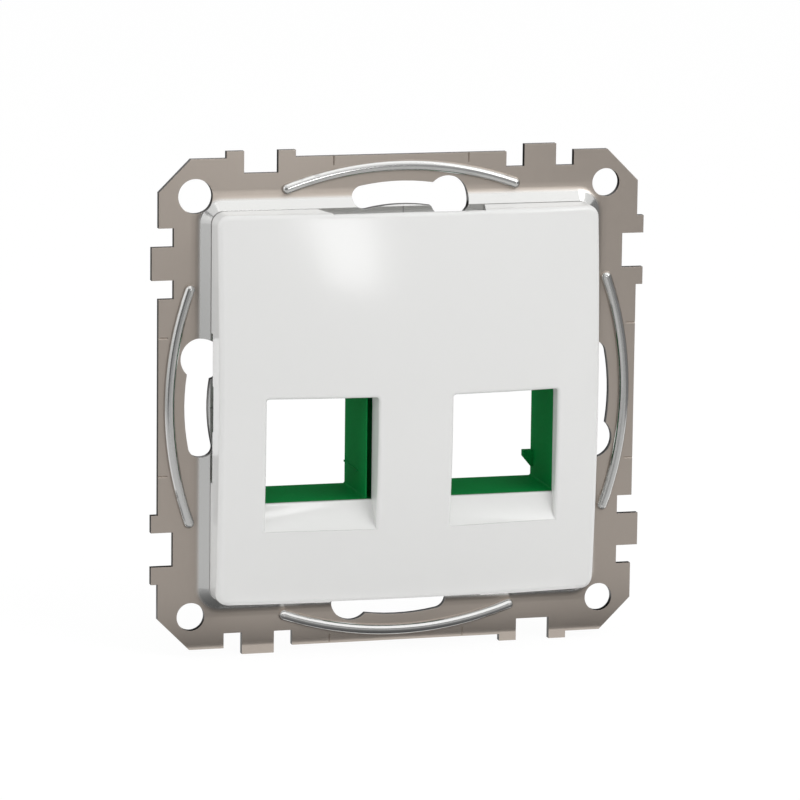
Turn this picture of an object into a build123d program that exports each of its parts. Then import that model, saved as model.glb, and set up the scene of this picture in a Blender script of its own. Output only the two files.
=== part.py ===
"""Double data outlet of a structured cabling system: a flush-mounted wall plate in millimetres.

Three pieces: a pressed steel support plate that is screwed to the wall box, a moulded carrier with
two bays for snap-in jacks, and a domed white centre plate with a window over each bay.

The pieces are drawn lying on their backs, x to the right and y up the wall, with z counted forward
from the wall surface. The last lines stand them up: +X right, +Z up, +Y into the wall, and the
origin in the middle of the plate on the wall surface.
"""
from build123d import *
import math
import os

# Steel support plate: sheet, outline and its stepped edge
sheet = 1.0
plate_half = 35.5
corner_cut = 4.65
tab_rise = 1.0
notch_depth = 2.2
steps_from_middle = 15.6
narrow_tab = 2.55
wide_notch = 5.0
narrow_notch = 2.7
wide_tab = 4.75

# Fixing holes: arc slots with keyhole heads, and round corner holes
slot_radius = 30.07
slot_width = 3.25
slot_tail_angle = 11.0
key_angle = 13.2
key_radius = 3.0
corner_hole_inset = 4.85
corner_hole_radius = 2.05
large_hole_inset = 5.3
large_hole_radius = 2.5

# Raised arc beads near the four edges, with the pressed groove behind them
bead_inset = 1.6
bead_arc_radius = 50.0
bead_section_radius = 0.8
bead_half_angle = 19.7
bead_groove_radius = 0.45

# Scored lines: pitch marks at the edges and middle marks on the platform
score_offset = 10.0
score_length = 1.35
score_tool_side = 0.19
score_tool_angle = 45.0

# Raised platform in the middle of the plate
platform_inset = 7.3
platform_rise = 1.2
collar_slope = 36.0
collar_root_radius = 1.4

# Domed centre plate: heights are counted from the front of the sheet
cover_half = 28.15
cover_corner_radius = 1.8
cover_draft = 0.5
cover_wall = 1.6
face_wall = 1.5
face_corner_height = 5.1
face_side_height = 6.7
face_crown_height = 9.6
face_edge_radius = 0.8
rim_gap = 0.2

# Reliefs in the rim of the centre plate
tall_relief_middle = -0.4
tall_relief_half_at_rim = 12.4
tall_relief_half_at_lip = 11.4
tall_relief_depth = 1.1
tall_relief_lip = 1.3
tall_relief_lip_setback = 0.25
tall_relief_backing = 0.95
low_relief_half = 10.8
low_relief_rise = 1.0
thumb_relief_half = 3.3
thumb_relief_rise = 0.45

# Windows of the centre plate and the scooped ramp below each of them
window_middle = 13.5
window_width = 16.0
window_top = 2.05
window_bottom = -13.3
window_corner_radius = 0.4
window_frame_wall = 1.2
window_frame_height = 5.55
ramp_length = 3.9
ramp_hollow = 0.3
mouth_edge_radius = 0.45

# Snap legs and rest posts inside the centre plate
leg_x = 17.0
leg_y = 20.7
leg_width = 5.0
leg_thickness = 1.4
leg_barb = 0.6
leg_barb_length = 1.4
leg_flex_room = 0.6
post_reach = 23.4
post_radius = 1.4

# Carrier with two bays
bay_middle = 14.1
bay_width = 15.6
bay_top = 3.2
bay_bottom = -13.3
bay_corner_radius = 0.3
latch_room_top = 6.9
latch_room_depth = 6.4
latch_lip_drop = 1.1
latch_lip_length = 1.5
carrier_wall = 1.4
carrier_body_half_height = 15.1
carrier_front_height = 5.4
carrier_back_depth = 6.4
carrier_corner_radius = 1.0
flange_thickness = 1.4
flange_overhang = 2.0
web_thickness = 1.4
front_channel_depth = 5.4
wall_front_thickness = 0.15
hook_reach = 1.4
hook_top = -9.4
hook_tip_height = 0.9
hook_foot = -12.0
hook_length = 1.1
guide_rib_reach = 0.15
guide_rib_height = 0.25
guide_rib_length = 7.6
guide_rib_y = -10.0
barb_width = 6.0
barb_reach = 0.8
barb_length = 1.7
slit_width = 0.8

# Clearances between the pieces
opening_clearance = 0.25
snap_clearance = 0.1
leg_clearance = 0.2
edge_of_cut = 1.0

# Heights that the pieces share, counted forward from the wall surface
platform_back = platform_rise
platform_front = sheet + platform_rise
rim_z = platform_front + rim_gap
frame_back_z = sheet + window_frame_height
carrier_front_z = sheet + carrier_front_height
carrier_back_z = sheet - carrier_back_depth
flange_front_z = platform_front + flange_thickness

# Reaches from the middle of the plate, set in from the straight edges of the sheet
platform_half = plate_half - platform_inset
bead_reach = plate_half - bead_inset
corner_hole_reach = plate_half - corner_hole_inset
large_hole_reach = plate_half - large_hole_inset

# The collar's run across the plate, and how much smaller the pocket behind the platform is
collar_run = platform_rise / math.tan(math.radians(collar_slope))
back_set_in = sheet * math.tan(math.radians(collar_slope / 2))

# Plan sizes that the pieces share
carrier_half_width = bay_middle + bay_width / 2 + carrier_wall
opening_half_width = carrier_half_width + opening_clearance
opening_half_height = carrier_body_half_height + opening_clearance


def four_turns(shape):
    """The same feature on all four edges, a quarter turn apart."""
    return [Rot(0, 0, -90 * turn) * shape for turn in range(4)]


def block(x_range, y_range, z_range):
    """A box given by its limits along each axis."""
    size = [high - low for low, high in (x_range, y_range, z_range)]
    middle = [(high + low) / 2 for low, high in (x_range, y_range, z_range)]
    return Pos(*middle) * Box(*size)


def rounded_prism(half_x, half_y, radius, low, high, taper=0.0):
    """An upright prism on the middle axis with rounded vertical corners."""
    outline = RectangleRounded(2 * half_x, 2 * half_y, radius)
    return Pos(0, 0, low) * extrude(outline, high - low, taper=taper)


def edge_points():
    """One edge of the sheet from left to right, seen with that edge on top."""
    tab = plate_half + tab_rise
    notch = plate_half - notch_depth
    left_steps = [(narrow_tab, tab), (wide_notch, notch), (narrow_tab, tab)]
    right_steps = [(narrow_notch, notch), (wide_tab, tab), (narrow_notch, notch)]
    left_start = -steps_from_middle - 2 * narrow_tab - wide_notch
    points = [(corner_cut - plate_half, plate_half)]
    for start, steps in ((left_start, left_steps), (steps_from_middle, right_steps)):
        along = start
        points.append((along, plate_half))
        for width, level in steps:
            points += [(along, level), (along + width, level)]
            along += width
        points.append((along, plate_half))
    points.append((plate_half - corner_cut, plate_half))
    return points


def sheet_outline():
    """The stepped outline of the whole sheet."""
    points = []
    for turn in range(4):
        points += [Vector(x, y).rotate(Axis.Z, -90 * turn) for x, y in edge_points()]
    return make_face(Polyline(*points, close=True))


def fixing_slot():
    """The cutter for one arc slot that ends in a keyhole head, on the top edge."""
    key_direction = 90 - key_angle
    middle_line = CenterArc((0, 0), slot_radius, key_direction, key_angle + slot_tail_angle)
    slot = SlotArc(middle_line, slot_width) + Pos(*(middle_line @ 0)) * Circle(key_radius)
    return Pos(0, 0, -edge_of_cut) * extrude(slot, platform_front + 2 * edge_of_cut)


def bead_line():
    """The arc along which one bead is pressed, on the top edge."""
    start = 90 - bead_half_angle
    return CenterArc((0, bead_reach - bead_arc_radius), bead_arc_radius, start, 2 * bead_half_angle)


def bead_bar(section_radius):
    """A round bar along one bead's arc."""
    line = bead_line()
    return sweep(Plane(origin=line @ 0, z_dir=line % 0) * Circle(section_radius), path=line)


def bead():
    """One raised bead with round ends, lying half in the front of the sheet."""
    line = bead_line()
    tips = [Pos(*(line @ end)) * Sphere(bead_section_radius) for end in (0, 1)]
    return Pos(0, 0, sheet) * (bead_bar(bead_section_radius) + tips)


def score(x, y_start, surface):
    """The cutter for one scored line with slanting sides that runs outward from y_start."""
    tool = Rot(0, score_tool_angle, 0) * Box(score_tool_side, score_length, score_tool_side)
    return Pos(x, y_start + score_length / 2, surface) * tool


def leg_slot(side_x, side_y):
    """The cutter in the platform for one snap leg of the centre plate."""
    inner = leg_y - leg_thickness / 2 - leg_flex_room
    outer = leg_y + leg_thickness / 2 + leg_clearance
    half = leg_width / 2 + leg_clearance
    y_range = sorted((side_y * inner, side_y * outer))
    x_middle = side_x * leg_x
    return block((x_middle - half, x_middle + half), y_range, (-edge_of_cut, platform_front + edge_of_cut))


def corner_hole(reach_x, reach_y, radius):
    """The cutter for one round hole in a corner of the sheet."""
    return Pos(reach_x, reach_y, sheet / 2) * Cylinder(radius, sheet + 2 * edge_of_cut)


def stepped(base, level, half, root_radius):
    """A base with a square platform on it, and a sloping collar that runs in a hollow from one to the other."""
    foot_half = half + collar_run
    top = level + platform_rise
    solid = base + rounded_prism(foot_half, foot_half, cover_corner_radius + collar_run, level, top, 90 - collar_slope)
    roots = solid.edges().filter_by_position(Axis.Z, level, level)
    roots = roots.filter_by(lambda e: max(abs(e.center().X), abs(e.center().Y)) < foot_half + snap_clearance)
    return fillet(roots, root_radius)


def build_support_plate():
    """One pressed sheet: platform, beads, slots, holes and stepped edges."""
    plate = stepped(extrude(sheet_outline(), sheet), sheet, platform_half, collar_root_radius)
    anvil = block((-plate_half, plate_half), (-plate_half, plate_half), (-sheet, 0))
    plate -= stepped(anvil, 0, platform_half - back_set_in, collar_root_radius + sheet)
    plate += four_turns(bead())
    plate -= four_turns(bead_bar(bead_groove_radius))
    plate -= rounded_prism(
        opening_half_width, opening_half_height, carrier_corner_radius, -edge_of_cut, platform_front + edge_of_cut
    )
    plate -= [leg_slot(side_x, side_y) for side_x in (-1, 1) for side_y in (-1, 1)]
    plate -= four_turns(fixing_slot())
    plate -= corner_hole(-large_hole_reach, large_hole_reach, large_hole_radius)
    for side_x, side_y in ((1, 1), (1, -1), (-1, -1)):
        plate -= corner_hole(side_x * corner_hole_reach, side_y * corner_hole_reach, corner_hole_radius)
    for offset in (-score_offset, score_offset):
        plate -= four_turns(score(offset, plate_half - score_length, sheet))
    plate -= four_turns(score(0, platform_half - score_length, platform_front))
    return plate


def face_z(x, y):
    """How far forward of the wall the domed face lies at a place on the plate."""
    across = 1 - (x / cover_half) ** 2
    up = 1 - (y / cover_half) ** 2
    side = face_side_height - face_corner_height
    crown = face_crown_height - 2 * face_side_height + face_corner_height
    return sheet + face_corner_height + side * (across + up) + crown * across * up


def dome(drop):
    """Everything behind the domed face, or behind a face that lies deeper by drop."""
    reach = cover_half + edge_of_cut
    sections = []
    for x in (-reach, 0, reach):
        end = face_z(x, reach) - drop
        arc = ThreePointArc((-reach, end), (0, face_z(x, 0) - drop), (reach, end))
        back = Polyline((reach, end), (reach, -edge_of_cut), (-reach, -edge_of_cut), (-reach, end))
        sections.append(Plane.YZ.offset(x) * make_face(arc + back))
    return loft(sections)


def window_hole(side):
    """The straight cutter for one window, which reaches down to the end of the ramp."""
    height = window_top - window_bottom + ramp_length
    outline = Rectangle(window_width, height)
    outline = fillet(outline.vertices().group_by(Axis.Y)[-1], window_corner_radius)
    return Pos(side * window_middle, window_top - height / 2, 0) * extrude(outline, 3 * face_crown_height)


def mouth_edges(cover, side):
    """The edges between one straight hole and the domed face, without the one at the end of the ramp."""
    half = window_width / 2 + snap_clearance
    low = window_bottom - ramp_length + snap_clearance
    high = window_top + snap_clearance
    edges = cover.edges().filter_by(lambda e: e.center().Z > frame_back_z + snap_clearance)
    edges = edges.filter_by(lambda e: abs(e.center().X - side * window_middle) < half)
    edges = edges.filter_by(lambda e: low < e.center().Y < high)
    return edges


def ramp_body(side):
    """The hollowed ramp that closes the lower end of one hole and rises from its foot to the domed face."""
    ramp_end = window_bottom - ramp_length
    half = (window_width + cover_wall) / 2
    x_middle = side * window_middle
    top = 2 * face_crown_height
    solid = block((x_middle - half, x_middle + half), (ramp_end, window_bottom), (frame_back_z, top))
    sections = []
    for x in (x_middle - half - edge_of_cut, x_middle + half + edge_of_cut):
        foot = Vector(window_bottom, frame_back_z)
        lip = Vector(ramp_end, face_z(x, ramp_end))
        middle = (foot + lip) / 2 - Vector(0, ramp_hollow)
        arc = ThreePointArc(foot, middle, lip)
        above = Polyline(lip, (ramp_end, top + edge_of_cut), (window_bottom, top + edge_of_cut), foot)
        sections.append(Plane.YZ.offset(x) * make_face(arc + above))
    return solid - loft(sections, ruled=True)


def window_frame(side):
    """The moulded sleeve behind one window, which meets the carrier's front edge."""
    half = window_width / 2 + window_frame_wall
    x_middle = side * window_middle
    y_range = (window_bottom - ramp_length - window_frame_wall, window_top + window_frame_wall)
    return block((x_middle - half, x_middle + half), y_range, (frame_back_z, 2 * face_crown_height))


def snap_leg(side_x, side_y):
    """One snap leg of the centre plate, with its barb behind the platform."""
    inner = leg_y - leg_thickness / 2
    outer = leg_y + leg_thickness / 2
    tip = platform_back - snap_clearance - leg_barb_length
    profile = Polyline(
        (inner, 2 * face_crown_height),
        (inner, tip),
        (outer, tip),
        (outer + leg_barb, platform_back - snap_clearance),
        (outer, platform_back - snap_clearance),
        (outer, 2 * face_crown_height),
        close=True,
    )
    leg = extrude(Plane.YZ * make_face(profile), leg_width / 2, both=True)
    if side_y < 0:
        leg = mirror(leg, about=Plane.XZ)
    return Pos(side_x * leg_x, 0, 0) * leg


def rest_post(side_x, side_y):
    """One post that carries the centre plate on the platform."""
    height = 2 * face_crown_height
    return Pos(side_x * post_reach, side_y * post_reach, platform_front + height / 2) * Cylinder(post_radius, height)


def tall_relief(side, depth, top):
    """The cutter in the upper or lower skirt, with ends that slant inward from the rim up to top."""
    lip_z = sheet + face_side_height - tall_relief_lip
    slant = (tall_relief_half_at_rim - tall_relief_half_at_lip) / (lip_z - rim_z)
    half_at_top = tall_relief_half_at_rim - slant * (top - rim_z)
    half_at_wall = tall_relief_half_at_rim + slant * rim_z
    profile = Polyline(
        (tall_relief_middle - half_at_wall, 0),
        (tall_relief_middle - half_at_top, top),
        (tall_relief_middle + half_at_top, top),
        (tall_relief_middle + half_at_wall, 0),
        close=True,
    )
    middle_y = side * (cover_half + edge_of_cut - (depth + edge_of_cut) / 2)
    return Pos(0, middle_y, 0) * extrude(Plane.XZ * make_face(profile), (depth + edge_of_cut) / 2, both=True)


def relief_backing(side):
    """The thicker stretch of skirt behind a tall relief."""
    outer = cover_half - cover_wall / 2
    inner = cover_half - tall_relief_depth - tall_relief_backing
    half = tall_relief_half_at_rim + cover_wall
    return block((-half, half), sorted((side * inner, side * outer)), (rim_z, 2 * face_crown_height))


def low_relief(side, half, rise):
    """The cutter that shortens the rim of a side skirt."""
    x_range = sorted((side * (cover_half - 2 * cover_wall), side * (cover_half + edge_of_cut)))
    return block(x_range, (-half, half), (0, rim_z + rise))


def build_centre_plate():
    """The domed white cover with windows, ramps, reliefs, snap legs and rest posts."""
    skin = dome(0)
    body = skin & rounded_prism(
        cover_half, cover_half, cover_corner_radius, rim_z, 2 * face_crown_height, taper=cover_draft
    )
    front_edges = body.edges().filter_by(lambda e: e.center().Z > sheet + face_corner_height - cover_wall)
    front_edges = front_edges.filter_by(lambda e: abs(e.tangent_at(0.5).Z) < 0.5)
    cover = fillet(front_edges, face_edge_radius)
    inner_half = cover_half - cover_wall
    inside = dome(face_wall) & rounded_prism(
        inner_half, inner_half, cover_corner_radius, 0, 2 * face_crown_height, taper=cover_draft
    )
    features = [window_frame(side) for side in (-1, 1)]
    features += [relief_backing(side) for side in (-1, 1)]
    corners = [(side_x, side_y) for side_x in (-1, 1) for side_y in (-1, 1)]
    features += [snap_leg(side_x, side_y) for side_x, side_y in corners]
    features += [rest_post(side_x, side_y) for side_x, side_y in corners]
    under_face = dome(face_wall / 2)
    cover -= inside
    for feature in features:
        cover += feature & under_face
    for side in (-1, 1):
        cover -= tall_relief(side, tall_relief_depth, sheet + face_side_height - tall_relief_lip)
        cover -= tall_relief(side, tall_relief_lip_setback, sheet + face_crown_height)
        cover -= low_relief(side, low_relief_half, low_relief_rise)
        cover -= low_relief(side, thumb_relief_half, low_relief_rise + thumb_relief_rise)
        cover -= window_hole(side)
        cover = fillet(mouth_edges(cover, side), mouth_edge_radius)
        cover += ramp_body(side)
    return cover


def bay(side):
    """The cutters for one bay: the front opening and the higher room for the jack's latch behind it."""
    middle_x = side * bay_middle
    aperture = RectangleRounded(bay_width, bay_top - bay_bottom, bay_corner_radius)
    length = carrier_front_z - carrier_back_z + 2 * edge_of_cut
    through = Pos(middle_x, (bay_top + bay_bottom) / 2, carrier_back_z - edge_of_cut) * extrude(aperture, length)
    x_range = (middle_x - bay_width / 2, middle_x + bay_width / 2)
    latch_end = carrier_back_z + latch_room_depth
    room = block(x_range, (bay_top - edge_of_cut, latch_room_top), (carrier_back_z + latch_lip_length, latch_end))
    lip_opening = (bay_top - edge_of_cut, latch_room_top - latch_lip_drop)
    mouth = block(x_range, lip_opening, (carrier_back_z - edge_of_cut, latch_end))
    return [through, room, mouth]


def bay_details(side):
    """The jack's hook on the outer wall of one bay and the guide rib on its inner wall."""
    outer_x = bay_middle + bay_width / 2
    inner_x = bay_middle - bay_width / 2
    profile = Polyline(
        (side * (outer_x + carrier_wall / 2), hook_top),
        (side * (outer_x - hook_reach), hook_top),
        (side * (outer_x - hook_reach), hook_top - hook_tip_height),
        (side * outer_x, hook_foot),
        (side * (outer_x + carrier_wall / 2), hook_foot),
        close=True,
    )
    hook = Pos(0, 0, carrier_back_z) * extrude(make_face(profile), hook_length, dir=(0, 0, 1))
    rib_x = sorted((side * (inner_x - carrier_wall / 2), side * (inner_x + guide_rib_reach)))
    rib = block(rib_x, (guide_rib_y - guide_rib_height / 2, guide_rib_y + guide_rib_height / 2),
                (carrier_back_z, carrier_back_z + guide_rib_length))
    return [hook, rib]


def carrier_barb(side_x, side_y):
    """One wedge that snaps behind the edge of the plate's opening."""
    root = carrier_body_half_height - carrier_wall / 2
    catch = platform_back - snap_clearance
    profile = Polyline(
        (root, catch),
        (carrier_body_half_height + barb_reach, catch),
        (carrier_body_half_height, catch - barb_length),
        (root, catch - barb_length),
        close=True,
    )
    barb = extrude(Plane.YZ * make_face(profile), barb_width / 2, both=True)
    if side_y < 0:
        barb = mirror(barb, about=Plane.XZ)
    return Pos(side_x * bay_middle, 0, 0) * barb


def front_channel(mouth_half, floor_half, floor_z):
    """The cutter between the bays, which thins the front ends of their inner walls."""
    profile = Polyline(
        (-floor_half, floor_z),
        (-mouth_half, carrier_front_z),
        (-mouth_half, carrier_front_z + edge_of_cut),
        (mouth_half, carrier_front_z + edge_of_cut),
        (mouth_half, carrier_front_z),
        (floor_half, floor_z),
        close=True,
    )
    channel = extrude(Plane.XZ * make_face(profile), (bay_top - bay_bottom) / 2, both=True)
    return Pos(0, (bay_top + bay_bottom) / 2, 0) * channel


def build_keystone_carrier():
    """The green moulding: flange, body, two bays, latch room, hooks and snap wedges."""
    lower_edge = bay_bottom - carrier_wall
    upper_edge = bay_top + carrier_wall
    carrier = rounded_prism(
        carrier_half_width, carrier_body_half_height, carrier_corner_radius, carrier_back_z, platform_front
    )
    carrier += rounded_prism(
        carrier_half_width + flange_overhang, carrier_body_half_height + flange_overhang,
        carrier_corner_radius + flange_overhang / 2, platform_front, flange_front_z
    )
    carrier += block((-carrier_half_width, carrier_half_width), (lower_edge, upper_edge),
                     (platform_front, carrier_front_z))
    for side in (-1, 1):
        carrier -= bay(side)
        carrier += bay_details(side)
    inner_x = bay_middle - bay_width / 2
    wall_x = inner_x - carrier_wall
    channel_floor = carrier_front_z - front_channel_depth
    carrier -= front_channel(inner_x - wall_front_thickness, wall_x, channel_floor)
    carrier -= block((-wall_x, wall_x), (bay_bottom, latch_room_top),
                     (carrier_back_z - edge_of_cut, channel_floor - web_thickness))
    upper_pocket = (latch_room_top + carrier_wall, carrier_body_half_height - carrier_wall)
    pocket_z = (carrier_back_z - edge_of_cut, flange_front_z - web_thickness)
    carrier -= block((-wall_x, wall_x), upper_pocket, pocket_z)
    for side in (-1, 1):
        pocket_x = (side * bay_middle - bay_width / 2, side * bay_middle + bay_width / 2)
        carrier -= block(pocket_x, upper_pocket, pocket_z)
        carrier += [carrier_barb(side, side_y) for side_y in (-1, 1)]
        for edge in (-1, 1):
            slit_x = side * bay_middle + edge * (barb_width + slit_width) / 2
            carrier -= block((slit_x - slit_width / 2, slit_x + slit_width / 2),
                             (upper_pocket[0] + carrier_wall, carrier_body_half_height + edge_of_cut),
                             (carrier_back_z - edge_of_cut, platform_back - snap_clearance))
    return carrier


def save(name, shape):
    """Stands a piece up on the wall surface and writes it as its own file."""
    export_step(Plane.XZ * shape, os.path.join("parts", name + ".step"))


os.makedirs("parts", exist_ok=True)
save("support_plate", build_support_plate())
save("centre_plate", build_centre_plate())
save("keystone_carrier", build_keystone_carrier())
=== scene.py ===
"""Finishes, studio and camera for a two-bay data outlet wall plate.

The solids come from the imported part. This file gives the plated steel sheet, the white cover and the
green jack carrier their surfaces, and sets up a pale studio with the photograph's viewpoint.
"""
import math

import bpy
from bpy.props import FloatProperty, FloatVectorProperty, PointerProperty
from mathutils import Matrix, Vector


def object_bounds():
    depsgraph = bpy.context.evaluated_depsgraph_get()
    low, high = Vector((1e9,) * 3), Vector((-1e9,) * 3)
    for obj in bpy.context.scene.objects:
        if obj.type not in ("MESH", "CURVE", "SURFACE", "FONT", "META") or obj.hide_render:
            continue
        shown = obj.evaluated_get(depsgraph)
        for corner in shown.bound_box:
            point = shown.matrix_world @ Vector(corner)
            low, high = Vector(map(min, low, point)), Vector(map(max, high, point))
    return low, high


bl_info = {
    "name": "Wall Plate Finisher",
    "version": (1, 0, 0),
    "blender": (4, 5, 0),
    "location": "View3D > Sidebar > Wall Plate",
    "description": "Finishes a steel, white and green data outlet and lights it in a pale studio",
    "category": "Object",
}

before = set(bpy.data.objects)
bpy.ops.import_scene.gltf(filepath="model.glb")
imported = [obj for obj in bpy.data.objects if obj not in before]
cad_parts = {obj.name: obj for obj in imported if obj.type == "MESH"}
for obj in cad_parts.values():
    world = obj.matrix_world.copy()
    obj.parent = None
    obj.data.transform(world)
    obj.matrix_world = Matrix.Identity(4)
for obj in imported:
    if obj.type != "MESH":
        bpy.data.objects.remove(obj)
cad_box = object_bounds()

MM = 0.001
CENTRE = (cad_box[0] + cad_box[1]) / 2
FLOOR_Z = cad_box[0].z

# Relief that a full-strength grain would have, and the shares by which it varies the roughness
GRAIN_HEIGHT = 0.02 * MM
ROUGHNESS_SPREAD = (0.85, 1.15)

# Painted shade darkens the sheared edge walls as the part of their normal that lies along the wall's
# normal falls from the first value to the second
EDGE_SHADE_START = 0.12
EDGE_SHADE_END = 0.02

# The painted sheen and the lower roughness come in as the forward part of the normal goes from minus
# this to plus this
FRONT_BLEND = 0.1

# The floor: half its width, and its share of plain white where the camera or a mirrored ray sees it
FLOOR_HALF = 3.0
FLOOR_WHITE_SHARE = 0.9

# Cards stand and lie this far above the floor, and the lip card lies this far below the middle
STANDING_GAP = 1.5 * MM
LYING_GAP = 1.0 * MM
NEAR_LYING_GAP = 1.2 * MM
LIP_DROP = 28.7 * MM

# The cards in the arc slots: distance from the middle, length, width, and distance in front of the wall
SLOT_REACH = 30.75 * MM
SLOT_LENGTH = 21.0 * MM
SLOT_WIDTH = 4.3 * MM
SLOT_FRONT = 0.5 * MM


def colour(name, description, default):
    """A colour setting."""
    return FloatVectorProperty(
        name=name, description=description, default=default, subtype="COLOR", size=3, min=0.0, max=1.0
    )


def amount(name, description, default, low=0.0, high=1.0):
    """A setting without a unit."""
    return FloatProperty(name=name, description=description, default=default, min=low, max=high)


def length(name, description, default):
    """A length setting, in metres."""
    return FloatProperty(name=name, description=description, default=default, unit="LENGTH")


class SteelFinish(bpy.types.PropertyGroup):
    """Settings of the plated steel sheet."""

    # The warmer, darker grey of the flat sheet is a painted reflection of warm surroundings
    base: colour("Base colour", "Warm grey of the plated sheet", (0.50, 0.444, 0.394))
    shade: colour("Shaded colour", "Darker patches of the plating", (0.475, 0.419, 0.370))
    roughness: amount("Roughness", "Blur of the reflections in the flat sheet", 0.42)
    grain: amount("Grain", "Strength of the fine rolled grain", 0.05)
    # Painted reflection: a lighter neutral grey on the beads and collar stands in for the bright light
    # they mirror; the same places also get a lower roughness
    pressed_sheen_and_polish: colour("Pressed colour", "Neutral grey where the press burnished it", (0.62, 0.62, 0.61))
    pressed_roughness: amount("Pressed roughness", "Blur of the reflections in beads and collar", 0.17)
    sheet: length("Sheet", "Thickness of the sheet, from the wall to its front", 1.0 * MM)
    # Rise at which the painted sheen and the lower roughness are at full strength
    sheen_and_polish_depth: length("Burnish depth", "Rise above the sheet that is fully burnished", 0.3 * MM)
    hollow_start: length("Hollow start", "Reach from the middle where the rise starts", 31.0 * MM)
    hollow_end: length("Hollow end", "Reach from the middle where the collar takes over", 29.4 * MM)
    hollow_rise: length("Hollow rise", "How far the sheet seems to rise before the collar", 0.14 * MM)
    # Painted shade: near-black on the sheared edge walls
    painted_edge_shade: colour("Cut edge colour", "Darker metal on the sheared edges", (0.06, 0.057, 0.054))
    edge_round: length("Edge round", "Rounding of the sheared edges", 0.08 * MM)


class CoverFinish(bpy.types.PropertyGroup):
    """Settings of the white cover."""

    base: colour("Base colour", "White of the moulded cover", (0.80, 0.80, 0.79))
    shade: colour("Shaded colour", "Slightly deeper white between flow marks", (0.785, 0.785, 0.775))
    roughness: amount("Roughness", "Blur of the reflections in the cover", 0.16)
    texture: amount("Texture", "Strength of the faint moulded texture", 0.03)
    edge_round: length("Edge round", "Rounding of the moulded edges", 0.15 * MM)


class CarrierFinish(bpy.types.PropertyGroup):
    """Settings of the green carrier."""

    base: colour("Base colour", "Green of the jack carrier", (0.0, 0.28, 0.062))
    shade: colour("Shaded colour", "Deeper green between flow marks", (0.0, 0.25, 0.054))
    roughness: amount("Roughness", "Blur of the reflections in the carrier", 0.42)
    texture: amount("Texture", "Strength of the moulded texture", 0.06)
    edge_round: length("Edge round", "Rounding of the moulded edges", 0.12 * MM)


class StudioSettings(bpy.types.PropertyGroup):
    """Settings of the studio and the camera."""

    eye: FloatVectorProperty(
        name="Eye",
        description="Place of the camera",
        default=(-0.19461, -0.69484, 0.13217),
        unit="LENGTH",
    )
    azimuth: amount("Azimuth", "Turn of the line of sight to the right, in degrees", 15.680, -180, 180)
    elevation: amount("Elevation", "Tilt of the line of sight downward, in degrees", 10.406, -90, 90)
    roll: amount("Roll", "Turn of the picture, in degrees", 0.682, -45, 45)
    focal: amount("Focal length", "Focal length in millimetres on a 36 mm sensor", 229.1, 10, 500)
    room: amount("Room light", "Light of the room on matt surfaces", 0.66, 0, 5)
    floor: colour("Floor colour", "Pale floor of the studio", (0.86, 0.86, 0.86))
    floor_glow: amount("Floor glow", "Evens out the floor toward the white background", 1.04, 0, 2)


def tree_of(material):
    """The emptied node tree of a material or a world."""
    material.use_nodes = True
    tree = material.node_tree
    tree.nodes.clear()
    return tree


def add(tree, kind, **values):
    """A new node; values set its properties."""
    node = tree.nodes.new(kind)
    for key, value in values.items():
        setattr(node, key, value)
    return node


def new_group(name, inputs, outputs):
    """An empty node group with named sockets, and its two end nodes."""
    group = bpy.data.node_groups.new(name, "ShaderNodeTree")
    for label, kind, default in inputs:
        socket = group.interface.new_socket(name=label, in_out="INPUT", socket_type=kind)
        socket.default_value = default
    for label, kind in outputs:
        group.interface.new_socket(name=label, in_out="OUTPUT", socket_type=kind)
    return group, group.nodes.new("NodeGroupInput"), group.nodes.new("NodeGroupOutput")


def moulded_surface_group():
    """Faint flow marks and fine texture for every surface: a colour, a roughness and a height."""
    group, source, sink = new_group(
        "Moulded surface",
        [
            ("Base", "NodeSocketColor", (0.8, 0.8, 0.8, 1.0)),
            ("Shade", "NodeSocketColor", (0.7, 0.7, 0.7, 1.0)),
            ("Roughness", "NodeSocketFloat", 0.3),
            ("Flow scale", "NodeSocketFloat", 60.0),
            ("Grain scale", "NodeSocketFloat", 6000.0),
            ("Stretch", "NodeSocketVector", (1.0, 1.0, 1.0)),
        ],
        [
            ("Colour", "NodeSocketColor"),
            ("Roughness", "NodeSocketFloat"),
            ("Height", "NodeSocketFloat"),
        ],
    )
    link = group.links.new
    place = add(group, "ShaderNodeTexCoord")
    flow = add(group, "ShaderNodeTexNoise")
    flow.inputs["Detail"].default_value = 3.0
    link(place.outputs["Object"], flow.inputs["Vector"])
    link(source.outputs["Flow scale"], flow.inputs["Scale"])
    mix = add(group, "ShaderNodeMix", data_type="RGBA")
    link(flow.outputs["Fac"], mix.inputs["Factor"])
    link(source.outputs["Shade"], mix.inputs["A"])
    link(source.outputs["Base"], mix.inputs["B"])
    stretched = add(group, "ShaderNodeVectorMath", operation="MULTIPLY")
    link(place.outputs["Object"], stretched.inputs[0])
    link(source.outputs["Stretch"], stretched.inputs[1])
    grain = add(group, "ShaderNodeTexNoise")
    grain.inputs["Detail"].default_value = 4.0
    link(stretched.outputs["Vector"], grain.inputs["Vector"])
    link(source.outputs["Grain scale"], grain.inputs["Scale"])
    spread = add(group, "ShaderNodeMapRange")
    spread.inputs["To Min"].default_value, spread.inputs["To Max"].default_value = ROUGHNESS_SPREAD
    link(grain.outputs["Fac"], spread.inputs["Value"])
    rough = add(group, "ShaderNodeMath", operation="MULTIPLY")
    link(spread.outputs["Result"], rough.inputs[0])
    link(source.outputs["Roughness"], rough.inputs[1])
    link(mix.outputs["Result"], sink.inputs["Colour"])
    link(rough.outputs["Value"], sink.inputs["Roughness"])
    link(grain.outputs["Fac"], sink.inputs["Height"])
    return group


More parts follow.
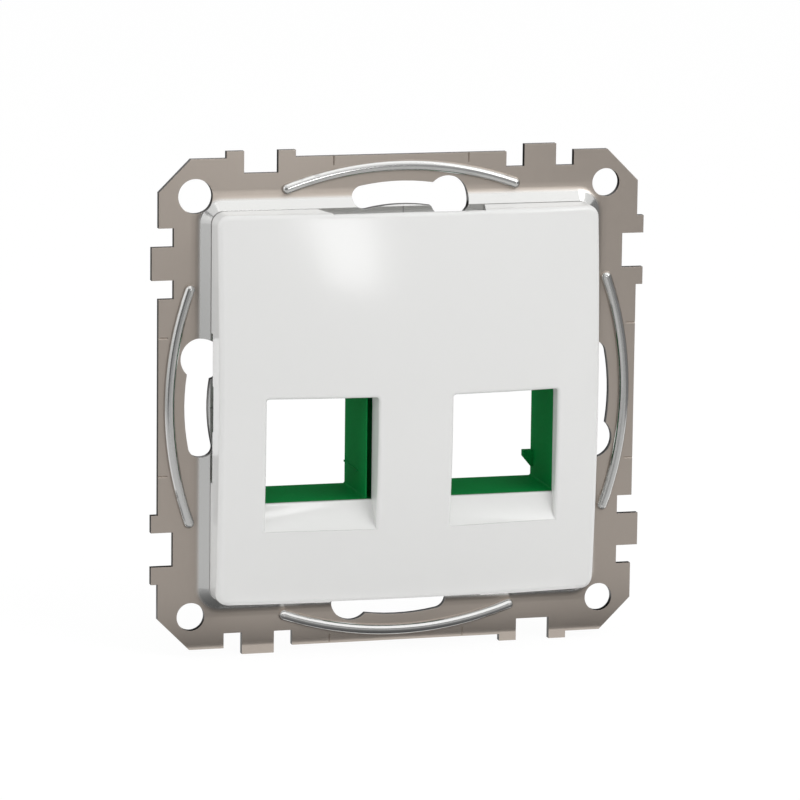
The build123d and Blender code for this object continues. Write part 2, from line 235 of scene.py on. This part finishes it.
def turned_surface_group():
    """A mask that grows from zero to one as a surface turns away from the wall's normal."""
    group, source, sink = new_group(
        "Turned surface",
        [("Start", "NodeSocketFloat", 0.99), ("End", "NodeSocketFloat", 0.9)],
        [("Mask", "NodeSocketFloat")],
    )
    link = group.links.new
    shape = add(group, "ShaderNodeNewGeometry")
    parts = add(group, "ShaderNodeSeparateXYZ")
    link(shape.outputs["Normal"], parts.inputs["Vector"])
    facing = add(group, "ShaderNodeMath", operation="ABSOLUTE")
    link(parts.outputs["Y"], facing.inputs[0])
    mask = add(group, "ShaderNodeMapRange", interpolation_type="SMOOTHSTEP")
    link(facing.outputs["Value"], mask.inputs["Value"])
    link(source.outputs["Start"], mask.inputs["From Min"])
    link(source.outputs["End"], mask.inputs["From Max"])
    link(mask.outputs["Result"], sink.inputs["Mask"])
    return group


def pressed_surface_group():
    """A mask of what the press has pushed forward, and the soft rise toward the platform."""
    group, source, sink = new_group(
        "Pressed surface",
        [
            ("Sheet", "NodeSocketFloat", 0.001),
            ("Sheen_polish_full", "NodeSocketFloat", 0.0013),
            ("Start", "NodeSocketFloat", 0.032),
            ("End", "NodeSocketFloat", 0.0295),
            ("Rise", "NodeSocketFloat", 0.0003),
            ("Corner", "NodeSocketFloat", 0.004),
        ],
        [("Mask", "NodeSocketFloat"), ("Height", "NodeSocketFloat")],
    )
    link = group.links.new
    place = add(group, "ShaderNodeTexCoord")
    parts = add(group, "ShaderNodeSeparateXYZ")
    link(place.outputs["Object"], parts.inputs["Vector"])
    forward = add(group, "ShaderNodeMath", operation="MULTIPLY")
    forward.inputs[1].default_value = -1.0
    link(parts.outputs["Y"], forward.inputs[0])
    mask = add(group, "ShaderNodeMapRange", interpolation_type="SMOOTHSTEP")
    link(forward.outputs["Value"], mask.inputs["Value"])
    link(source.outputs["Sheet"], mask.inputs["From Min"])
    link(source.outputs["Sheen_polish_full"], mask.inputs["From Max"])
    shape = add(group, "ShaderNodeNewGeometry")
    facing = add(group, "ShaderNodeSeparateXYZ")
    link(shape.outputs["Normal"], facing.inputs["Vector"])
    front = add(group, "ShaderNodeMapRange")
    front.inputs["From Min"].default_value = FRONT_BLEND
    front.inputs["From Max"].default_value = -FRONT_BLEND
    link(facing.outputs["Y"], front.inputs["Value"])
    shown = add(group, "ShaderNodeMath", operation="MULTIPLY")
    link(mask.outputs["Result"], shown.inputs[0])
    link(front.outputs["Result"], shown.inputs[1])
    reach = add(group, "ShaderNodeMath", operation="SMOOTH_MAX")
    for socket, axis in zip(reach.inputs, ("X", "Z")):
        size = add(group, "ShaderNodeMath", operation="ABSOLUTE")
        link(parts.outputs[axis], size.inputs[0])
        link(size.outputs["Value"], socket)
    link(source.outputs["Corner"], reach.inputs[2])
    rise = add(group, "ShaderNodeMapRange", interpolation_type="SMOOTHSTEP")
    link(reach.outputs["Value"], rise.inputs["Value"])
    link(source.outputs["Start"], rise.inputs["From Min"])
    link(source.outputs["End"], rise.inputs["From Max"])
    link(source.outputs["Rise"], rise.inputs["To Max"])
    link(shown.outputs["Value"], sink.inputs["Mask"])
    link(rise.outputs["Result"], sink.inputs["Height"])
    return group


def surface_shader(name, settings, flow_scale, grain_scale, stretch, relief, metal):
    """A finish with rounded edges: returns the material, its surface group and its shader."""
    material = bpy.data.materials.new(name)
    tree = tree_of(material)
    link = tree.links.new
    output = add(tree, "ShaderNodeOutputMaterial")
    shader = add(tree, "ShaderNodeBsdfPrincipled")
    shader.inputs["Metallic"].default_value = metal
    surface = add(tree, "ShaderNodeGroup")
    surface.node_tree = bpy.data.node_groups["Moulded surface"]
    surface.inputs["Base"].default_value = (*settings.base, 1.0)
    surface.inputs["Shade"].default_value = (*settings.shade, 1.0)
    surface.inputs["Roughness"].default_value = settings.roughness
    surface.inputs["Flow scale"].default_value = flow_scale
    surface.inputs["Grain scale"].default_value = grain_scale
    surface.inputs["Stretch"].default_value = stretch
    rounded = add(tree, "ShaderNodeBevel", samples=6)
    rounded.inputs["Radius"].default_value = settings.edge_round
    bump = add(tree, "ShaderNodeBump")
    bump.inputs["Strength"].default_value = relief
    bump.inputs["Distance"].default_value = GRAIN_HEIGHT
    link(surface.outputs["Height"], bump.inputs["Height"])
    link(rounded.outputs["Normal"], bump.inputs["Normal"])
    link(bump.outputs["Normal"], shader.inputs["Normal"])
    link(surface.outputs["Roughness"], shader.inputs["Roughness"])
    link(surface.outputs["Colour"], shader.inputs["Base Color"])
    link(shader.outputs["BSDF"], output.inputs["Surface"])
    return material, surface, shader


def turned_mask(tree, start, end):
    """A mask of the places whose normal has turned from start to end, as parts of the wall's normal."""
    turned = add(tree, "ShaderNodeGroup")
    turned.node_tree = bpy.data.node_groups["Turned surface"]
    turned.inputs["Start"].default_value = start
    turned.inputs["End"].default_value = end
    return turned.outputs["Mask"]


def zinc_steel(settings):
    """Warm grey plated sheet with a rolled grain and smoother beads and collar; a lighter neutral grey
    on the beads and collar and a warmer, darker grey on the flat sheet are painted reflection, and
    near-black on the sheared edges is painted shade.
    """
    material, surface, shader = surface_shader(
        "zinc_steel", settings, flow_scale=45.0, grain_scale=2500.0, stretch=(1.0, 1.0, 0.6),
        relief=settings.grain, metal=1.0
    )
    tree = material.node_tree
    link = tree.links.new
    shape = add(tree, "ShaderNodeGroup")
    shape.node_tree = bpy.data.node_groups["Pressed surface"]
    shape.inputs["Sheet"].default_value = settings.sheet
    shape.inputs["Sheen_polish_full"].default_value = settings.sheet + settings.sheen_and_polish_depth
    shape.inputs["Start"].default_value = settings.hollow_start
    shape.inputs["End"].default_value = settings.hollow_end
    shape.inputs["Rise"].default_value = settings.hollow_rise
    pressed_sheen_and_polish = shape.outputs["Mask"]
    hollow = add(tree, "ShaderNodeBump")
    hollow.inputs["Distance"].default_value = 1.0
    link(shape.outputs["Height"], hollow.inputs["Height"])
    link(shader.inputs["Normal"].links[0].from_socket, hollow.inputs["Normal"])
    link(hollow.outputs["Normal"], shader.inputs["Normal"])
    # Painted reflection: a lighter neutral grey where the sheet is pressed forward, over the warmer,
    # darker grey of the flat sheet
    painted_sheen = add(tree, "ShaderNodeMix", data_type="RGBA")
    painted_sheen.inputs["B"].default_value = (*settings.pressed_sheen_and_polish, 1.0)
    link(pressed_sheen_and_polish, painted_sheen.inputs["Factor"])
    link(surface.outputs["Colour"], painted_sheen.inputs["A"])
    # Painted shade: near-black on the sheared edge walls, where the turned-surface mask is full
    edge_shade_mix = add(tree, "ShaderNodeMix", data_type="RGBA")
    edge_shade_mix.inputs["B"].default_value = (*settings.painted_edge_shade, 1.0)
    link(turned_mask(tree, EDGE_SHADE_START, EDGE_SHADE_END), edge_shade_mix.inputs["Factor"])
    link(painted_sheen.outputs["Result"], edge_shade_mix.inputs["A"])
    link(edge_shade_mix.outputs["Result"], shader.inputs["Base Color"])
    smoother = add(tree, "ShaderNodeMix")
    smoother.inputs["B"].default_value = settings.pressed_roughness
    link(pressed_sheen_and_polish, smoother.inputs["Factor"])
    link(surface.outputs["Roughness"], smoother.inputs["A"])
    link(smoother.outputs["Result"], shader.inputs["Roughness"])
    return material


def white_plastic(settings):
    """Glossy white moulding with a hardly visible texture."""
    material, _, shader = surface_shader(
        "white_plastic", settings, flow_scale=25.0, grain_scale=1400.0, stretch=(1.0, 1.0, 1.0),
        relief=settings.texture, metal=0.0
    )
    shader.inputs["IOR"].default_value = 1.49
    return material


def green_plastic(settings):
    """Satin green moulding."""
    material, _, shader = surface_shader(
        "green_plastic", settings, flow_scale=50.0, grain_scale=2200.0, stretch=(1.0, 1.0, 1.0),
        relief=settings.texture, metal=0.0
    )
    shader.inputs["IOR"].default_value = 1.5
    shader.inputs["Specular IOR Level"].default_value = 0.12
    return material


def dress(node, material):
    """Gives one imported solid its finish."""
    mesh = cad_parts[node].data
    mesh.materials.clear()
    mesh.materials.append(material)


class WALLPLATE_OT_shared_effects(bpy.types.Operator):
    """Builds the node groups that the finishes use"""

    bl_idname = "wallplate.shared_effects"
    bl_label = "Shared effects"

    def execute(self, context):
        moulded_surface_group()
        turned_surface_group()
        pressed_surface_group()
        return {"FINISHED"}


class WALLPLATE_OT_support_plate(bpy.types.Operator):
    """Finishes the pressed steel support plate"""

    bl_idname = "wallplate.support_plate"
    bl_label = "Support plate"

    def execute(self, context):
        dress("support_plate", zinc_steel(context.scene.wallplate_steel))
        return {"FINISHED"}


class WALLPLATE_OT_centre_plate(bpy.types.Operator):
    """Finishes the white domed cover"""

    bl_idname = "wallplate.centre_plate"
    bl_label = "Centre plate"

    def execute(self, context):
        dress("centre_plate", white_plastic(context.scene.wallplate_cover))
        return {"FINISHED"}


class WALLPLATE_OT_keystone_carrier(bpy.types.Operator):
    """Finishes the green carrier with the two jack bays"""

    bl_idname = "wallplate.keystone_carrier"
    bl_label = "Keystone carrier"

    def execute(self, context):
        dress("keystone_carrier", green_plastic(context.scene.wallplate_carrier))
        return {"FINISHED"}


def seen_directly(tree):
    """A value that is one for rays from the camera, and for mirrored and transmitted rays."""
    link = tree.links.new
    path = add(tree, "ShaderNodeLightPath")
    first = add(tree, "ShaderNodeMath", operation="MAXIMUM")
    link(path.outputs["Is Camera Ray"], first.inputs[0])
    link(path.outputs["Is Glossy Ray"], first.inputs[1])
    both = add(tree, "ShaderNodeMath", operation="MAXIMUM")
    link(first.outputs["Value"], both.inputs[0])
    link(path.outputs["Is Transmission Ray"], both.inputs[1])
    return both.outputs["Value"]


def studio_world(scene, settings):
    """A white background, and plain grey light on matt surfaces."""
    world = bpy.data.worlds.new("studio")
    scene.world = world
    tree = tree_of(world)
    link = tree.links.new
    output = add(tree, "ShaderNodeOutputWorld")
    light = add(tree, "ShaderNodeBackground")
    light.inputs["Color"].default_value = (1.0, 1.0, 1.0, 1.0)
    strength = add(tree, "ShaderNodeMapRange")
    strength.inputs["To Min"].default_value = settings.room
    strength.inputs["To Max"].default_value = 1.0
    link(seen_directly(tree), strength.inputs["Value"])
    link(strength.outputs["Result"], light.inputs["Strength"])
    link(light.outputs["Background"], output.inputs["Surface"])


def facing_the_plate(place):
    """The turn that points something at a place toward the middle of the plate."""
    return (CENTRE - Vector(place)).to_track_quat("-Z", "Y").to_euler()


def rectangle(name, half_width, half_height):
    """A flat mesh of one face about its own middle."""
    mesh = bpy.data.meshes.new(name)
    corners = [
        (-half_width, -half_height, 0),
        (half_width, -half_height, 0),
        (half_width, half_height, 0),
        (-half_width, half_height, 0),
    ]
    mesh.from_pydata(corners, [], [(0, 1, 2, 3)])
    return mesh


def studio_floor(settings):
    """A wide pale floor under the plate that melts into the background."""
    mesh = rectangle("floor", FLOOR_HALF, FLOOR_HALF)
    floor = bpy.data.objects.new("floor", mesh)
    bpy.context.scene.collection.objects.link(floor)
    floor.location = (0, 0, FLOOR_Z)
    material = bpy.data.materials.new("floor")
    tree = tree_of(material)
    link = tree.links.new
    output = add(tree, "ShaderNodeOutputMaterial")
    matt = add(tree, "ShaderNodeBsdfDiffuse")
    matt.inputs["Color"].default_value = (*settings.floor, 1.0)
    white = add(tree, "ShaderNodeEmission")
    white.inputs["Strength"].default_value = settings.floor_glow
    blend = add(tree, "ShaderNodeMixShader")
    share = add(tree, "ShaderNodeMath", operation="MULTIPLY")
    share.inputs[1].default_value = FLOOR_WHITE_SHARE
    link(seen_directly(tree), share.inputs[0])
    link(share.outputs["Value"], blend.inputs[0])
    link(matt.outputs["BSDF"], blend.inputs[1])
    link(white.outputs["Emission"], blend.inputs[2])
    link(blend.outputs["Shader"], output.inputs["Surface"])
    mesh.materials.append(material)


def card(name, place, width, height, glow, tilt=None):
    """A flat card that shows only in mirrored light; glow is its strength at its lower and upper end.

    Without a tilt it faces the plate; at 0 degrees it lies flat, and at 90 it stands facing forward.
    """
    mesh = rectangle(name, width / 2, height / 2)
    piece = bpy.data.objects.new(name, mesh)
    bpy.context.scene.collection.objects.link(piece)
    piece.location = place
    if tilt is None:
        piece.rotation_euler = facing_the_plate(place)
    else:
        piece.rotation_euler = (math.radians(tilt), 0, 0)
    piece.visible_camera = False
    piece.visible_diffuse = False
    piece.visible_shadow = False
    material = bpy.data.materials.new(name)
    tree = tree_of(material)
    link = tree.links.new
    output = add(tree, "ShaderNodeOutputMaterial")
    light = add(tree, "ShaderNodeEmission")
    where = add(tree, "ShaderNodeTexCoord")
    parts = add(tree, "ShaderNodeSeparateXYZ")
    grade = add(tree, "ShaderNodeMapRange")
    grade.inputs["From Min"].default_value = -height / 2
    grade.inputs["From Max"].default_value = height / 2
    grade.inputs["To Min"].default_value, grade.inputs["To Max"].default_value = glow
    link(where.outputs["Object"], parts.inputs["Vector"])
    link(parts.outputs["Y"], grade.inputs["Value"])
    link(grade.outputs["Result"], light.inputs["Strength"])
    link(light.outputs["Emission"], output.inputs["Surface"])
    mesh.materials.append(material)


def standing_card(name, azimuth, distance, width, top, glow):
    """A card that stands on the floor, its azimuth in degrees to the right of the plate's front."""
    turn = math.radians(azimuth)
    low = FLOOR_Z + STANDING_GAP
    middle = Vector((distance * math.sin(turn), -distance * math.cos(turn), (low + top) / 2))
    card(name, middle, width, top - low, glow)


def slot_cards(glow):
    """A card in each of the four arc slots, so that the beads beside them mirror light."""
    for name, right, up in (("left", -1, 0), ("right", 1, 0), ("top", 0, 1), ("bottom", 0, -1)):
        width, height = (SLOT_WIDTH, SLOT_LENGTH) if right else (SLOT_LENGTH, SLOT_WIDTH)
        place = (right * SLOT_REACH, -SLOT_FRONT, up * SLOT_REACH)
        card(name + "_slot_card", place, width, height, glow, tilt=90)


def lamp(name, place, width, height, power):
    """A soft rectangular lamp aimed at the plate."""
    light = bpy.data.lights.new(name, "AREA")
    light.shape = "RECTANGLE"
    light.size = width
    light.size_y = height
    light.energy = power
    piece = bpy.data.objects.new(name, light)
    bpy.context.scene.collection.objects.link(piece)
    piece.location = place
    piece.rotation_euler = facing_the_plate(place)


class WALLPLATE_OT_studio(bpy.types.Operator):
    """Builds the pale floor, the lamps, the reflector cards and the background"""

    bl_idname = "wallplate.studio"
    bl_label = "Studio"

    def execute(self, context):
        scene = context.scene
        settings = scene.wallplate_studio
        scene.view_settings.view_transform = "Standard"
        studio_world(scene, settings)
        studio_floor(settings)
        in_front = (0.0, -0.12, FLOOR_Z + LYING_GAP)
        close_in_front = (-0.01, -0.0115, FLOOR_Z + NEAR_LYING_GAP)
        under_cover = (0.0, -0.0068, CENTRE.z - LIP_DROP)
        lamp("top_lamp", (0.06, -0.13, 0.58), width=0.5, height=0.25, power=0.25)
        lamp("right_lamp", (0.30, -0.42, 0.42), width=0.4, height=0.4, power=1.35)
        lamp("left_lamp", (-0.54, -0.10, 0.12), width=0.3, height=0.3, power=0.45)
        card("sky_card", (0.0915, -0.341, 0.354), width=0.26, height=0.56, glow=(0.55, 1.5))
        standing_card("front_card", 7.0, distance=0.17, width=0.235, top=0.098, glow=(0.38, 0.38))
        standing_card("left_dark_card", -43.0, distance=0.15, width=0.08, top=0.10, glow=(0.16, 0.18))
        standing_card("left_card", -91.5, distance=0.17, width=0.225, top=0.12, glow=(0.45, 1.6))
        standing_card("right_card", 78.5, distance=0.15, width=0.222, top=0.07, glow=(0.22, 0.3))
        card("floor_card", in_front, width=0.50, height=0.20, glow=(0.70, 0.70), tilt=0)
        card("near_floor_card", close_in_front, width=0.11, height=0.02, glow=(0.70, 0.10), tilt=0)
        card("lip_card", under_cover, width=0.052, height=0.0086, glow=(1.4, 1.4), tilt=0)
        slot_cards(glow=(1.0, 1.0))
        card("back_card", (0.0, 0.04, -0.0025), width=0.106, height=0.085, glow=(0.02, 0.02))
        card("window_card", (0.0113, -0.138, 0.045), width=0.022, height=0.034, glow=(5.0, 5.0))
        return {"FINISHED"}


class WALLPLATE_OT_camera(bpy.types.Operator):
    """Places the camera at the photograph's viewpoint"""

    bl_idname = "wallplate.camera"
    bl_label = "Camera"

    def execute(self, context):
        settings = context.scene.wallplate_studio
        azimuth = math.radians(settings.azimuth)
        elevation = math.radians(settings.elevation)
        roll = math.radians(settings.roll)
        ahead = Vector((
            math.sin(azimuth) * math.cos(elevation),
            math.cos(azimuth) * math.cos(elevation),
            -math.sin(elevation),
        ))
        level = ahead.cross(Vector((0, 0, 1))).normalized()
        upright = level.cross(ahead)
        right = math.cos(roll) * level + math.sin(roll) * upright
        up = math.cos(roll) * upright - math.sin(roll) * level
        data = bpy.data.cameras.new("camera")
        data.sensor_width = 36.0
        data.lens = settings.focal
        camera = bpy.data.objects.new("camera", data)
        context.scene.collection.objects.link(camera)
        turn = Matrix((right, up, -ahead)).transposed().to_4x4()
        camera.matrix_world = Matrix.Translation(Vector(settings.eye)) @ turn
        context.scene.camera = camera
        return {"FINISHED"}


class WALLPLATE_PT_panel(bpy.types.Panel):
    """Lists the steps that dress the wall plate"""

    bl_label = "Wall Plate"
    bl_idname = "WALLPLATE_PT_panel"
    bl_space_type = "VIEW_3D"
    bl_region_type = "UI"
    bl_category = "Wall Plate"

    def draw(self, context):
        column = self.layout.column()
        for step in STEPS:
            column.operator(step.bl_idname)
        for group in SETTINGS:
            holder = getattr(context.scene, group)
            for key in holder.bl_rna.properties.keys():
                if key not in ("name", "rna_type"):
                    column.prop(holder, key)


STEPS = (
    WALLPLATE_OT_shared_effects,
    WALLPLATE_OT_support_plate,
    WALLPLATE_OT_centre_plate,
    WALLPLATE_OT_keystone_carrier,
    WALLPLATE_OT_studio,
    WALLPLATE_OT_camera,
)
SETTINGS = {
    "wallplate_steel": SteelFinish,
    "wallplate_cover": CoverFinish,
    "wallplate_carrier": CarrierFinish,
    "wallplate_studio": StudioSettings,
}


def register():
    """Registers the settings, the steps and the panel."""
    for group, kind in SETTINGS.items():
        bpy.utils.register_class(kind)
        setattr(bpy.types.Scene, group, PointerProperty(type=kind))
    for kind in (*STEPS, WALLPLATE_PT_panel):
        bpy.utils.register_class(kind)


def unregister():
    """Takes everything out again."""
    for kind in reversed((*STEPS, WALLPLATE_PT_panel)):
        bpy.utils.unregister_class(kind)
    for group, kind in SETTINGS.items():
        delattr(bpy.types.Scene, group)
        bpy.utils.unregister_class(kind)


def main():
    """Dresses the part."""
    register()
    bpy.ops.wallplate.shared_effects()
    bpy.ops.wallplate.support_plate()
    bpy.ops.wallplate.centre_plate()
    bpy.ops.wallplate.keystone_carrier()
    bpy.ops.wallplate.studio()
    bpy.ops.wallplate.camera()


if __name__ == "__main__":
    main()
